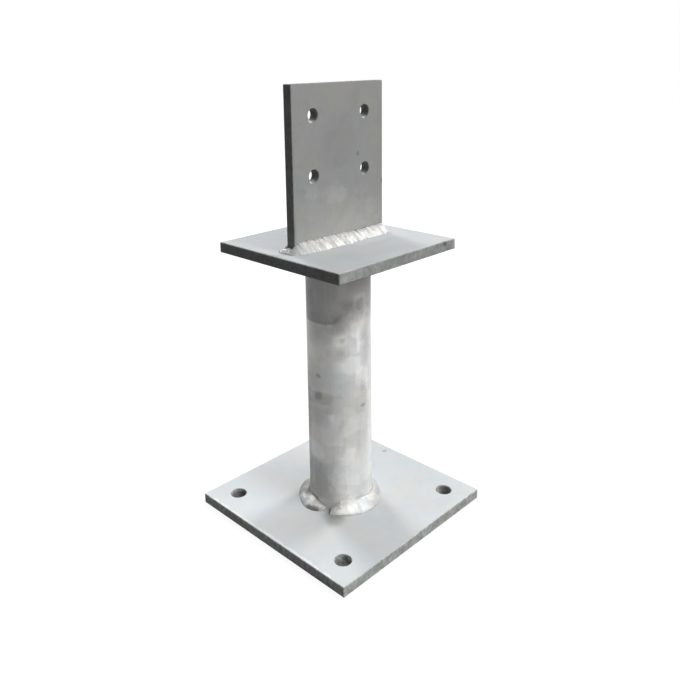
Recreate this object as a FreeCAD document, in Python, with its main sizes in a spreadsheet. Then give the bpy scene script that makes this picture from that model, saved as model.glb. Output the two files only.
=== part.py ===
import FreeCAD, Part
import Sketcher
import math
import os

# Welded timber post base: a base plate, a stem tube, a bearing plate and a drilled blade, joined by
# fillet welds. Each plate, the tube and each run of weld is one solid.
# Frame: millimetres, origin at the bottom centre of the base plate, +Z up, +X along the blade.
# The blade's front face looks along -Y.

SIZES = {
    # base plate, anchor holes and the hole that lets the zinc out of the tube
    "base_side": 200,
    "base_thick": 10,
    "anchor_edge": 25,
    "anchor_dia": 16,
    "drain_dia": 20,
    # stem tube
    "tube_dia": 63.5,
    "tube_wall": 5,
    "tube_length": 258,
    # bearing plate
    "bearing_side": 160,
    "bearing_thick": 10,
    # blade, set in from the bearing plate's edges, and its dowel holes
    "blade_margin": 20,
    "blade_height": 150,
    "blade_thick": 10,
    "dowel_side_edge": 26,
    "dowel_top_edge": 28,
    "dowel_rise": 55,
    "dowel_dia": 12,
    # plate edges and hole rims, eased by the pickling and the zinc
    "plate_ease": 0.6,
    "blade_ease": 0.5,
    "rim_ease": 0.4,
    # weld round the tube's foot: two runs with a gap in front, angles counted from +X
    "foot_weld_leg": 10,
    "foot_weld_rise": 11,
    "foot_weld_crown": 1.4,
    "foot_weld_left_stop_angle": 184,
    "foot_weld_right_start_angle": 226,
    "foot_weld_meet_angle": 40,
    "nose_turn_angle": 110,
    # weld round the tube's head
    "head_weld_leg": 7,
    # welds round the blade's foot
    "front_first_start": 5,
    "front_first_end": 6.5,
    "front_second_start": 8,
    "front_second_end": 9.4,
    "rear_leg": 7,
    "left_end_leg": 5,
    "right_end_leg": 6,
}

TUBE_RADIUS = "sizes.tube_dia / 2"
HEAD_LEVEL = "sizes.base_thick + sizes.tube_length"
SEAT_LEVEL = "sizes.base_thick + sizes.tube_length + sizes.bearing_thick"
BLADE_WIDTH = "(sizes.bearing_side - 2 * sizes.blade_margin)"
# lengths under this count as nothing
TOUCH = 1e-6

document = FreeCAD.newDocument("timber_post_base")


def make_sheet():
    """The spreadsheet of driving dimensions, one row each, with the name as the cell's alias."""
    sheet = document.addObject("Spreadsheet::Sheet", "sizes")
    for row, (name, value) in enumerate(SIZES.items(), start=1):
        sheet.set(f"A{row}", name)
        sheet.set(f"B{row}", str(value))
        sheet.setAlias(f"B{row}", name)
    document.recompute()


# ---------------------------------------------------------------- bodies, sketches and constraints


def new_body(name, level="0"):
    """An empty body whose own origin stands at the given level."""
    body = document.addObject("PartDesign::Body", name)
    body.Label = name
    body.setExpression("Placement.Base.z", level)
    return body


def new_sketch(body, name, plane, x="0", z="0"):
    """A sketch on one of the body's planes, moved along the sketch's x axis and the plane's normal."""
    sketch = body.newObject("Sketcher::SketchObject", name)
    face = next(feature for feature in body.Origin.OriginFeatures if feature.Role == plane)
    sketch.AttachmentSupport = [(face, "")]
    sketch.MapMode = "FlatFace"
    sketch.setExpression("AttachmentOffset.Base.x", x)
    sketch.setExpression("AttachmentOffset.Base.z", z)
    return sketch


def drive(sketch, kind, *where, by):
    """Add a dimensional constraint and drive it by an expression over the sheet."""
    value = float(sketch.evalExpression(by))
    index = sketch.addConstraint(Sketcher.Constraint(kind, *where, value))
    sketch.setExpression(f"Constraints[{index}]", by)


def place_point(sketch, geometry, point, x, y):
    """Hold a point at a signed place: x and y are each a sign and an expression."""
    for kind, (sign, distance) in (("DistanceX", x), ("DistanceY", y)):
        ends = (-1, 1, geometry, point) if sign > 0 else (geometry, point, -1, 1)
        drive(sketch, kind, *ends, by=distance)


def draw_rectangle(sketch, width, depth):
    """A rectangle centred on the sketch's origin."""
    half_x = float(sketch.evalExpression(width)) / 2
    half_y = float(sketch.evalExpression(depth)) / 2
    signs = [(-1, -1), (1, -1), (1, 1), (-1, 1)]
    corners = [FreeCAD.Vector(sx * half_x, sy * half_y, 0) for sx, sy in signs]
    for i in range(4):
        sketch.addGeometry(Part.LineSegment(corners[i], corners[(i + 1) % 4]), False)
    for i in range(4):
        sketch.addConstraint(Sketcher.Constraint("Coincident", i, 2, (i + 1) % 4, 1))
        sketch.addConstraint(Sketcher.Constraint(("Horizontal", "Vertical")[i % 2], i))
    sketch.addConstraint(Sketcher.Constraint("Symmetric", 0, 1, 2, 1, -1, 1))
    drive(sketch, "DistanceX", 0, 1, 0, 2, by=width)
    drive(sketch, "DistanceY", 1, 1, 1, 2, by=depth)


def draw_circle(sketch, diameter, x=(1, "0"), y=(1, "0")):
    """A circle at a signed place, by its diameter."""
    centre = [sign * float(sketch.evalExpression(distance)) for sign, distance in (x, y)]
    radius = float(sketch.evalExpression(diameter)) / 2
    circle = Part.Circle(FreeCAD.Vector(*centre, 0), FreeCAD.Vector(0, 0, 1), radius)
    index = sketch.addGeometry(circle, False)
    drive(sketch, "Diameter", index, by=diameter)
    if x[1] == y[1] == "0":
        sketch.addConstraint(Sketcher.Constraint("Coincident", index, 3, -1, 1))
    else:
        place_point(sketch, index, 3, x, y)


def draw_fillet_section(sketch, side, up, leg, rise, crown=None, wall="0"):
    """A fillet weld's section: root corner, leg along the plate, rise up the wall, and its face.

    side is +1 or -1 for a leg that runs along +x or -x, and up is the same for the rise. The wall
    stands at x = wall. The face is one flat, or three flats that stand proud by the crown.
    """
    wall_x, leg_value, rise_value = (
        float(sketch.evalExpression(expression)) for expression in (wall, leg, rise)
    )
    root = FreeCAD.Vector(wall_x, 0, 0)
    plate_toe = root + FreeCAD.Vector(side * leg_value, 0, 0)
    wall_toe = root + FreeCAD.Vector(0, up * rise_value, 0)
    plate_line = sketch.addGeometry(Part.LineSegment(root, plate_toe), False)
    wall_line = sketch.addGeometry(Part.LineSegment(wall_toe, root), False)
    chord = sketch.addGeometry(Part.LineSegment(plate_toe, wall_toe), crown is not None)
    sketch.addConstraint(Sketcher.Constraint("Coincident", plate_line, 1, wall_line, 2))
    sketch.addConstraint(Sketcher.Constraint("Coincident", plate_line, 2, chord, 1))
    sketch.addConstraint(Sketcher.Constraint("Coincident", wall_line, 1, chord, 2))
    sketch.addConstraint(Sketcher.Constraint("Horizontal", plate_line))
    sketch.addConstraint(Sketcher.Constraint("Vertical", wall_line))
    if wall == "0":
        sketch.addConstraint(Sketcher.Constraint("Coincident", plate_line, 1, -1, 1))
    else:
        sketch.addConstraint(Sketcher.Constraint("PointOnObject", plate_line, 1, -1))
        drive(sketch, "DistanceX", -1, 1, plate_line, 1, by=wall)
    along = (plate_line, 1, plate_line, 2) if side > 0 else (plate_line, 2, plate_line, 1)
    upward = (wall_line, 2, wall_line, 1) if up > 0 else (wall_line, 1, wall_line, 2)
    drive(sketch, "DistanceX", *along, by=leg)
    drive(sketch, "DistanceY", *upward, by=rise)
    if crown is not None:
        draw_crown(sketch, chord, crown, f"sqrt(({leg})^2 + ({rise})^2) / 3")


def draw_crown(sketch, chord, crown, middle_length):
    """Three flats from toe to toe, whose middle one is parallel to the chord and proud by the crown."""
    line = sketch.Geometry[chord]
    along = line.EndPoint - line.StartPoint
    root = FreeCAD.Vector(line.EndPoint.x, line.StartPoint.y, 0)
    outward = ((line.StartPoint + line.EndPoint) / 2 - root).normalize()
    outward *= float(sketch.evalExpression(crown))
    corners = [
        line.StartPoint,
        line.StartPoint + along / 3 + outward,
        line.EndPoint - along / 3 + outward,
        line.EndPoint,
    ]
    low, middle, high = (
        sketch.addGeometry(Part.LineSegment(*ends), False) for ends in zip(corners, corners[1:])
    )
    sketch.addConstraint(Sketcher.Constraint("Coincident", chord, 1, low, 1))
    sketch.addConstraint(Sketcher.Constraint("Coincident", low, 2, middle, 1))
    sketch.addConstraint(Sketcher.Constraint("Coincident", middle, 2, high, 1))
    sketch.addConstraint(Sketcher.Constraint("Coincident", high, 2, chord, 2))
    sketch.addConstraint(Sketcher.Constraint("Parallel", middle, chord))
    sketch.addConstraint(Sketcher.Constraint("Equal", low, high))
    drive(sketch, "Distance", middle, 1, chord, by=crown)
    drive(sketch, "Distance", middle, by=middle_length)


# ---------------------------------------------------------------------------------------- features


def pad(body, sketch, length, both_ways=False):
    """Pad a sketch by a length, upwards from its plane or half to each side of it."""
    feature = body.newObject("PartDesign::Pad", sketch.Name + "_pad")
    feature.Profile = sketch
    feature.Midplane = both_ways
    feature.setExpression("Length", length)
    document.recompute()
    return feature


def cut_through(body, sketch):
    """Cut a sketch through the whole body, both ways from its plane."""
    before = body.Shape.Volume
    feature = body.newObject("PartDesign::Pocket", sketch.Name + "_cut")
    feature.Profile = sketch
    feature.Type = "ThroughAll"
    feature.Midplane = True
    document.recompute()
    if feature.Shape.Volume >= before:
        raise RuntimeError(f"{feature.Label} cuts nothing")
    return feature


def turn(body, sketch, angle, leftwards):
    """Revolve a sketch about its own vertical axis, leftwards or rightwards as seen from above."""
    feature = body.newObject("PartDesign::Revolution", sketch.Name + "_turn")
    feature.Profile = sketch
    feature.ReferenceAxis = (sketch, ["V_Axis"])
    feature.Reversed = not leftwards
    feature.setExpression("Angle", angle)
    document.recompute()
    return feature


def ease_edges(body, base, size, wanted=lambda edge: True):
    """Take a narrow chamfer off the wanted edges of a feature."""
    feature = body.newObject("PartDesign::Chamfer", base.Name + "_ease")
    names = [f"Edge{i}" for i, edge in enumerate(base.Shape.Edges, start=1) if wanted(edge)]
    feature.Base = (base, names)
    feature.setExpression("Size", size)
    document.recompute()
    return feature


def is_rim(edge):
    """Whether an edge is the rim of a round hole."""
    return isinstance(edge.Curve, Part.Circle)


def is_above_seat(edge):
    """Whether an edge rises above the level its body stands on."""
    return edge.BoundBox.ZMax > TOUCH


# ------------------------------------------------------------------------------- plates and tube


def make_base_plate():
    """Square plate with an anchor hole in each corner and a drain hole under the tube."""
    body = new_body("base_plate")
    outline = new_sketch(body, "base_outline", "XY_Plane")
    draw_rectangle(outline, "sizes.base_side", "sizes.base_side")
    slab = pad(body, outline, "sizes.base_thick")
    ease_edges(body, slab, "sizes.plate_ease")
    holes = new_sketch(body, "anchor_holes", "XY_Plane")
    reach = "sizes.base_side / 2 - sizes.anchor_edge"
    for x_sign in (-1, 1):
        for y_sign in (-1, 1):
            draw_circle(holes, "sizes.anchor_dia", (x_sign, reach), (y_sign, reach))
    draw_circle(holes, "sizes.drain_dia")
    drilled = cut_through(body, holes)
    ease_edges(body, drilled, "sizes.rim_ease", is_rim)
    return body


def make_stem_tube():
    """Round tube, sawn square, that stands on the base plate."""
    body = new_body("stem_tube", "sizes.base_thick")
    section = new_sketch(body, "tube_section", "XY_Plane")
    draw_circle(section, "sizes.tube_dia")
    draw_circle(section, "sizes.tube_dia - 2 * sizes.tube_wall")
    pad(body, section, "sizes.tube_length")
    return body


def make_bearing_plate():
    """Square plate on the tube that the post's end grain stands on."""
    body = new_body("bearing_plate", HEAD_LEVEL)
    outline = new_sketch(body, "bearing_outline", "XY_Plane")
    draw_rectangle(outline, "sizes.bearing_side", "sizes.bearing_side")
    slab = pad(body, outline, "sizes.bearing_thick")
    ease_edges(body, slab, "sizes.plate_ease")
    return body


def make_blade():
    """Upright plate that goes into the slotted post, with two rows of two dowel holes."""
    body = new_body("blade", SEAT_LEVEL)
    outline = new_sketch(body, "blade_outline", "XY_Plane")
    draw_rectangle(outline, BLADE_WIDTH, "sizes.blade_thick")
    slab = pad(body, outline, "sizes.blade_height")
    ease_edges(body, slab, "sizes.blade_ease", is_above_seat)
    holes = new_sketch(body, "dowel_holes", "XZ_Plane")
    reach = f"{BLADE_WIDTH} / 2 - sizes.dowel_side_edge"
    upper = "sizes.blade_height - sizes.dowel_top_edge"
    for x_sign in (-1, 1):
        for level in (upper, upper + " - sizes.dowel_rise"):
            draw_circle(holes, "sizes.dowel_dia", (x_sign, reach), (1, level))
    drilled = cut_through(body, holes)
    ease_edges(body, drilled, "sizes.rim_ease", is_rim)
    return body


# ------------------------------------------------------------------------------------------ welds


def make_foot_weld(name, full_from, sweep, leftwards):
    """One run round the tube's foot: full section over the sweep, then a round nose that closes on the tube.

    full_from is the angle where the full section meets the nose. The run goes from there leftwards or
    rightwards, and the nose goes the other way.
    """
    body = new_body(name, "sizes.base_thick")
    body.Placement.Rotation = FreeCAD.Rotation(FreeCAD.Vector(0, 0, 1), 1)
    body.setExpression("Placement.Rotation.Angle", full_from)
    shape = ("sizes.foot_weld_leg", "sizes.foot_weld_rise", "sizes.foot_weld_crown")
    section = new_sketch(body, name + "_section", "XZ_Plane")
    draw_fillet_section(section, 1, 1, *shape, wall=TUBE_RADIUS)
    turn(body, section, sweep, leftwards)
    nose = new_sketch(body, name + "_nose", "XZ_Plane", x=TUBE_RADIUS)
    draw_fillet_section(nose, 1, 1, *shape)
    turn(body, nose, "sizes.nose_turn_angle", not leftwards)
    seat = new_sketch(body, name + "_seat", "XY_Plane")
    draw_circle(seat, "sizes.tube_dia")
    cut_through(body, seat)
    return body


def make_head_weld(name, leftwards):
    """Half a ring of weld between the tube's head and the underside of the bearing plate."""
    body = new_body(name, HEAD_LEVEL)
    section = new_sketch(body, name + "_section", "XZ_Plane")
    leg = "sizes.head_weld_leg"
    draw_fillet_section(section, 1, -1, leg, leg, wall=TUBE_RADIUS)
    turn(body, section, "180", leftwards)
    return body


def make_face_weld(name, side, begin, end):
    """A run along one face of the blade, from one section to another: each is a place in X and a leg."""
    body = new_body(name, SEAT_LEVEL)
    sections = []
    for label, (place, leg) in (("_begin", begin), ("_end", end)):
        wall = f"{side} * sizes.blade_thick / 2"
        section = new_sketch(body, name + label, "YZ_Plane", x=wall, z=place)
        draw_fillet_section(section, side, 1, leg, leg)
        sections.append(section)
    document.recompute()
    run = body.newObject("PartDesign::AdditiveLoft", name + "_loft")
    run.Profile = sections[0]
    run.Sections = sections[1:]
    run.Ruled = True
    document.recompute()
    return body


def make_end_weld(name, side, leg):
    """A short run across one end of the blade that turns both corners and stops flush with the faces."""
    body = new_body(name, SEAT_LEVEL)
    edge = f"{side} * {BLADE_WIDTH} / 2"
    straight = new_sketch(body, name + "_straight", "XZ_Plane", x=edge)
    draw_fillet_section(straight, side, 1, leg, leg)
    pad(body, straight, "sizes.blade_thick", both_ways=True)
    for label, face in (("_front", -1), ("_rear", 1)):
        corner = new_sketch(body, name + label, "XZ_Plane", x=edge, z=f"{-face} * sizes.blade_thick / 2")
        draw_fillet_section(corner, side, 1, leg, leg)
        turn(body, corner, "90", leftwards=side * face > 0)
    return body


def make_welds():
    """Every run of weld on the post base."""
    left_sweep = "sizes.foot_weld_left_stop_angle - sizes.foot_weld_meet_angle"
    right_sweep = "360 + sizes.foot_weld_meet_angle - sizes.foot_weld_right_start_angle"
    left_edge = f"-{BLADE_WIDTH} / 2"
    right_edge = f"{BLADE_WIDTH} / 2"
    middle = "0"
    return [
        make_foot_weld("foot_weld_left", "sizes.foot_weld_left_stop_angle", left_sweep, leftwards=False),
        make_foot_weld("foot_weld_right", "sizes.foot_weld_right_start_angle", right_sweep, leftwards=True),
        make_head_weld("head_weld_front", leftwards=False),
        make_head_weld("head_weld_rear", leftwards=True),
        make_face_weld(
            "blade_weld_front_first",
            -1,
            (left_edge, "sizes.front_first_start"),
            (middle, "sizes.front_first_end"),
        ),
        make_face_weld(
            "blade_weld_front_second",
            -1,
            (middle, "sizes.front_second_start"),
            (right_edge, "sizes.front_second_end"),
        ),
        make_face_weld(
            "blade_weld_rear",
            1,
            (left_edge, "sizes.rear_leg"),
            (right_edge, "sizes.rear_leg"),
        ),
        make_end_weld("blade_weld_left_end", -1, "sizes.left_end_leg"),
        make_end_weld("blade_weld_right_end", 1, "sizes.right_end_leg"),
    ]


# ----------------------------------------------------------------------------------- build and write


def check_document():
    """Stop if any object of the document is left failed."""
    for feature in document.Objects:
        if "Invalid" in feature.State or "Error" in feature.State:
            raise RuntimeError(f"{feature.Label} failed: {feature.State}")


def export(piece):
    """Check one piece's shape and write it to its own file."""
    shape = piece.Shape
    if shape.isNull() or not shape.isValid() or len(shape.Solids) != 1:
        raise RuntimeError(f"{piece.Label} is not one valid solid")
    shape.exportStep(f"parts/{piece.Label}.step")
    box = shape.BoundBox
    print(
        f"{piece.Label:26s} {shape.Volume:12.2f} mm3  x {box.XMin:.2f} {box.XMax:.2f}"
        f"  y {box.YMin:.2f} {box.YMax:.2f}  z {box.ZMin:.2f} {box.ZMax:.2f}"
    )


make_sheet()
pieces = [make_base_plate(), make_stem_tube(), make_bearing_plate(), make_blade()]
pieces += make_welds()
document.recompute()
check_document()
os.makedirs("parts", exist_ok=True)
for piece in pieces:
    export(piece)
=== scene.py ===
"""Looks of a welded, hot-dip galvanised timber post base, built round its packed CAD model."""

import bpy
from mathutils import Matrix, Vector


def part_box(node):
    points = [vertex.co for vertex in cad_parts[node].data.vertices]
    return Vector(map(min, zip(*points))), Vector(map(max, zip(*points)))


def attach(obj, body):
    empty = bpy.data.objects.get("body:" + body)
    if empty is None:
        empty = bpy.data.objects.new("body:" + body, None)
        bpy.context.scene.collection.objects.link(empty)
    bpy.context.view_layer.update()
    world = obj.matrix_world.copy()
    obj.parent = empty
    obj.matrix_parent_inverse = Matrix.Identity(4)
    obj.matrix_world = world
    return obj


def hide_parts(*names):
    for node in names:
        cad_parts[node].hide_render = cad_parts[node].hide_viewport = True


bl_info = {
    "name": "Welded Post Base",
    "version": (1, 0, 0),
    "blender": (4, 5, 0),
    "location": "View3D > Sidebar > Post Base",
    "description": "Zinc finishes and weld runs for a welded timber post base",
    "category": "Object",
}

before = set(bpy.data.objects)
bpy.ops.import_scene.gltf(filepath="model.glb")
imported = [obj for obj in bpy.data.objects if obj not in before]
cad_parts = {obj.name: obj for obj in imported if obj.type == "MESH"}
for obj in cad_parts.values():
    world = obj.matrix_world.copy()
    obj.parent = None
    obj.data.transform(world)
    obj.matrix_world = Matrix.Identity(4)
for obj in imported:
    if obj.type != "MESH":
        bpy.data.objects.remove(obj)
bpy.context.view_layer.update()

import math

import bmesh
import bpy
from bpy.props import FloatProperty, FloatVectorProperty, IntProperty, PointerProperty
from mathutils import Matrix, Vector, noise

MM = 0.001
BODY = "root"

BASE_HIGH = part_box("base_plate")[1]
TUBE_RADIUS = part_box("stem_tube")[1].x
SEAT_LOW, SEAT_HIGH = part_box("bearing_plate")
BLADE_LOW, BLADE_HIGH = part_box("blade")


# ------------------------------------------------------------------------------------ settings


def length(name, description, default):
    """A length that a user may change."""
    return FloatProperty(name=name, description=description, default=default, min=0, unit="LENGTH")


def colour(name, description, default):
    """A colour that a user may change."""
    return FloatVectorProperty(
        name=name, description=description, default=default, size=3, min=0, max=1, subtype="COLOR"
    )


def amount(name, description, default, highest):
    """A plain number that a user may change."""
    return FloatProperty(name=name, description=description, default=default, min=0, max=highest)


class PostBaseZinc(bpy.types.PropertyGroup):
    """Colours of the zinc coat on each kind of steel."""

    plate: colour("Plates", "Zinc on the rolled faces of both plates", (0.555, 0.575, 0.585))
    blade: colour("Blade", "Zinc on the blade's faces", (0.305, 0.305, 0.297))
    tube: colour("Tube", "Zinc on the tube", (0.80, 0.795, 0.78))
    weld: colour("Welds", "Zinc on the weld metal", (0.62, 0.62, 0.61))
    cut_edge: colour("Cut Edges", "Zinc on cut edges and drilled walls", (0.36, 0.37, 0.36))


class PostBaseWelds(bpy.types.PropertyGroup):
    """Sizes of the weld runs."""

    foot_leg: length("Foot Leg", "Reach of the foot welds over the base plate", 10.6 * MM)
    foot_rise: length("Foot Rise", "Reach of the foot welds up the tube", 11.6 * MM)
    foot_crown: length("Foot Crown", "Bulge of the foot welds beyond a flat face", 1.3 * MM)
    tuck: length("Tuck", "How far a weld's hidden sides go into the steel", 0.4 * MM)
    ripple_pitch: length("Ripple Pitch", "Distance between two ripples", 2.6 * MM)
    ripple_height: length("Ripple Height", "Height of a ripple", 0.12 * MM)
    lump_size: length("Lump Size", "Breadth of the lumps in a run", 7 * MM)
    lump_height: length("Lump Height", "Height of the lumps in a run", 0.5 * MM)
    seed: IntProperty(name="Seed", description="Which lumps the runs get", default=4, min=0)


class PostBaseStage(bpy.types.PropertyGroup):
    """Camera, lamps and floor."""

    lens: FloatProperty(name="Lens", description="Focal length in millimetres", default=38.76, min=1)
    right_lamp: amount("Right Lamp", "Power of the tall lamp on the right, in watts", 48.5, 500)
    rear_lamp: amount("Rear Lamp", "Power of the tall lamp behind, in watts", 45, 500)
    front_lamp: amount("Front Lamp", "Power of the wide lamp in front, in watts", 64, 500)
    ambient: amount("Ambient", "Strength of the light from overhead", 0.34, 10)


# ------------------------------------------------------------------------------- node building

FLOAT = "NodeSocketFloat"
VECTOR = "NodeSocketVector"
GEOMETRY = "NodeSocketGeometry"


class Wiring:
    """Adds nodes to a tree and joins them up, one line a step."""

    def __init__(self, tree):
        self.tree = tree

    def feed(self, socket, value):
        """Give an input a link from another node's output, or a plain value."""
        if isinstance(value, bpy.types.NodeSocket):
            self.tree.links.new(value, socket)
        else:
            socket.default_value = value

    def node(self, kind, inputs=None, **settings):
        """A node with its settings and its inputs, by their names or numbers."""
        made = self.tree.nodes.new(kind)
        for name, value in settings.items():
            setattr(made, name, value)
        for key, value in (inputs or {}).items():
            self.feed(made.inputs[key], value)
        return made

    def math(self, operation, *values):
        """The result of a Math node."""
        return self.node("ShaderNodeMath", dict(enumerate(values)), operation=operation).outputs[0]

    def vector(self, operation, *values, output=0):
        """The result of a Vector Math node."""
        made = self.node("ShaderNodeVectorMath", dict(enumerate(values)), operation=operation)
        return made.outputs[output]

    def scaled(self, value, factor):
        """A vector or a colour times a factor."""
        return self.node("ShaderNodeVectorMath", {0: value, "Scale": factor}, operation="SCALE").outputs[0]

    def ramp(self, value, low, high, to_low=0.0, to_high=1.0):
        """A value carried smoothly from one range to another and held at its ends."""
        inputs = {"Value": value, "From Min": low, "From Max": high, "To Min": to_low, "To Max": to_high}
        return self.node("ShaderNodeMapRange", inputs, interpolation_type="SMOOTHSTEP").outputs["Result"]

    def noise(self, place, scale, detail=2.0, roughness=0.5, distortion=0.0, output="Fac"):
        """Noise in 3-D, from 0 to 1 with its mean near a half."""
        inputs = {
            "Vector": place,
            "Scale": scale,
            "Detail": detail,
            "Roughness": roughness,
            "Distortion": distortion,
        }
        return self.node("ShaderNodeTexNoise", inputs).outputs[output]

    def mix(self, share, first, second):
        """Two colours mixed by a share."""
        made = self.node("ShaderNodeMix", data_type="RGBA")
        given = {"Factor": share, "A": first, "B": second}
        for socket in made.inputs:
            if socket.enabled and socket.name in given:
                self.feed(socket, given[socket.name])
        return next(socket for socket in made.outputs if socket.enabled)

    def group(self, tree, **values):
        """The outputs of a node group that is placed with its own values or links."""
        inputs = {label(name): value for name, value in values.items()}
        return self.node("ShaderNodeGroup", inputs, node_tree=tree).outputs


def label(name):
    """The label of the socket that a keyword stands for."""
    return name.replace("_", " ").title()


def node_group(name, inputs, outputs, kind="ShaderNodeTree"):
    """Turn a function that wires a node group into one that builds the group once and returns it.

    The wiring function takes the wiring and the group's inputs, and gives a result for each output.
    """
    def around(wire):
        def build():
            if name in bpy.data.node_groups:
                return bpy.data.node_groups[name]
            tree = bpy.data.node_groups.new(name, kind)
            for socket_name, socket_kind, default in inputs:
                socket = tree.interface.new_socket(socket_name, in_out="INPUT", socket_type=socket_kind)
                if default is not None:
                    socket.default_value = default
            for socket_name, socket_kind in outputs:
                tree.interface.new_socket(socket_name, in_out="OUTPUT", socket_type=socket_kind)
            given = tree.nodes.new("NodeGroupInput").outputs
            wanted = tree.nodes.new("NodeGroupOutput").inputs
            for (socket_name, _), result in zip(outputs, wire(Wiring(tree), given)):
                tree.links.new(result, wanted[socket_name])
            return tree
        build.__doc__ = wire.__doc__
        return build
    return around


def in_millimetres(w):
    """The place on the object, in millimetres."""
    return w.scaled(w.node("ShaderNodeTexCoord").outputs["Object"], 1 / MM)


def turned_to(w, angle):
    """The place's x, y and z in millimetres, turned so that x points at an angle given in degrees."""
    inputs = {"Vector": in_millimetres(w), "Angle": w.math("MULTIPLY", angle, -math.pi / 180)}
    turned = w.node("ShaderNodeVectorRotate", inputs, rotation_type="Z_AXIS")
    return w.node("ShaderNodeSeparateXYZ", {"Vector": turned.outputs[0]}).outputs


def centred(w, value):
    """A value from 0 to 1 carried to the range from -1 to 1."""
    return w.math("MULTIPLY_ADD", value, 2.0, -1.0)


def inside(w, far, softness):
    """A mask that is 1 where a distance is under 1, with a soft edge."""
    return w.ramp(far, w.math("ADD", 1.0, softness), w.math("SUBTRACT", 1.0, softness))


# ---------------------------------------------------------------------------------------- zinc

WARM = (1.012, 1.0, 0.975)
COOL = (0.982, 1.0, 1.02)
EDGE_ROUGHNESS = 0.6
BUMP_STRENGTH = 0.25
BUMP_DEPTH = 0.3 * MM


@node_group(
    "Zinc Skin",
    [
        ("Cloud Size", FLOAT, 40.0),
        ("Cloud", FLOAT, 0.1),
        ("Patch Size", VECTOR, (16.0, 16.0, 12.0)),
        ("Patch", FLOAT, 0.05),
        ("Run", FLOAT, 0.03),
        ("Grain", FLOAT, 0.02),
        ("Offset", VECTOR, (0.0, 0.0, 0.0)),
    ],
    [("Tone", FLOAT), ("Gloss", FLOAT), ("Height", FLOAT), ("Tint", FLOAT)],
)
def zinc_skin(w, given):
    """The clouds, soft square patches, runs and grain of dipped zinc, with sizes in millimetres."""
    place = w.vector("ADD", in_millimetres(w), given["Offset"])
    cloud = centred(w, w.noise(place, w.math("DIVIDE", 1.0, given["Cloud Size"]), 3, 0.55, 0.4))

    # soft square cells with uneven sides, which fade out here and there
    stray = w.vector("SUBTRACT", w.noise(place, 0.12, 3, output="Color"), (0.5, 0.5, 0.5))
    strayed = w.vector("MULTIPLY_ADD", stray, (5.0, 5.0, 5.0), place)
    cells = w.node(
        "ShaderNodeTexVoronoi",
        {"Vector": w.vector("DIVIDE", strayed, given["Patch Size"]), "Scale": 1.0, "Smoothness": 0.22},
        feature="SMOOTH_F1",
        distance="CHEBYCHEV",
    )
    patch = centred(w, w.vector("DOT_PRODUCT", cells.outputs["Color"], (1.0, 0.0, 0.0), output="Value"))
    fade = w.ramp(w.noise(w.vector("ADD", place, (31.0, 57.0, 11.0)), 1 / 26), 0.38, 0.62, 0.15, 1.0)
    patch = w.math("MULTIPLY", patch, fade)

    run = centred(w, w.noise(w.vector("MULTIPLY", place, (0.42, 0.42, 0.028)), 1.0, 3, 0.6))
    grain = w.math("SUBTRACT", w.noise(place, 1.4, 3, 0.6), 0.5)
    tone = w.math("MULTIPLY", cloud, given["Cloud"])
    for part, strength in ((patch, "Patch"), (run, "Run"), (grain, "Grain")):
        tone = w.math("MULTIPLY_ADD", part, given[strength], tone)
    gloss = w.math("MULTIPLY_ADD", patch, 0.5, cloud)
    height = w.math("MULTIPLY_ADD", grain, 0.35, w.math("MULTIPLY", cloud, 0.8))
    height = w.math("MULTIPLY_ADD", patch, 0.12, height)
    tint = w.ramp(w.noise(w.vector("ADD", place, (70.0, 20.0, 40.0)), 1 / 34), 0.35, 0.65)
    return tone, gloss, height, tint


@node_group(
    "Tube Mark",
    [
        ("Angle", FLOAT, 225.0),
        ("Height", FLOAT, 100.0),
        ("Half Width", FLOAT, 8.0),
        ("Half Height", FLOAT, 8.0),
        ("Softness", FLOAT, 0.3),
        ("Ragged", FLOAT, 0.0),
    ],
    [("Mask", FLOAT)],
)
def tube_mark(w, given):
    """A mask over a rounded rectangle on the tube, by its angle in degrees and its height."""
    roundness = 3.0
    x, y, z = turned_to(w, given["Angle"])
    aside = w.math("DIVIDE", w.math("ABSOLUTE", y), given["Half Width"])
    above = w.math("DIVIDE", w.math("SUBTRACT", z, given["Height"]), given["Half Height"])
    above = w.math("ABSOLUTE", above)
    far = w.math("ADD", w.math("POWER", aside, roundness), w.math("POWER", above, roundness))
    far = w.math("ADD", w.math("POWER", far, 1 / roundness), given["Ragged"])
    near_side = w.ramp(x, 0.0, 6.0)
    return (w.math("MULTIPLY", inside(w, far, given["Softness"]), near_side),)


@node_group(
    "Painted Head Shadow",
    [
        ("Crisp Angle", FLOAT, 150.0),
        ("Low Edge", FLOAT, 203.0),
        ("High Edge", FLOAT, 231.0),
        ("Blur", FLOAT, 9.0),
        ("Ragged", FLOAT, 0.0),
    ],
    [("Mask", FLOAT)],
)
def painted_head_shadow(w, given):
    """The dull band at the tube's head: its edge is crisp on one side, and rises and blurs away from it."""
    x, y, z = turned_to(w, given["Crisp Angle"])
    angle = w.math("MULTIPLY", w.math("ABSOLUTE", w.math("ARCTAN2", y, x)), 180 / math.pi)
    edge = w.ramp(angle, 61.0, 96.0, given["Low Edge"], given["High Edge"])
    edge = w.math("MULTIPLY_ADD", given["Ragged"], w.ramp(angle, 50.0, 100.0, 1.5, 12.0), edge)
    blur = w.ramp(angle, 58.0, 98.0, 1.0, given["Blur"])
    return (w.ramp(z, w.math("SUBTRACT", edge, blur), w.math("ADD", edge, blur)),)


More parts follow.
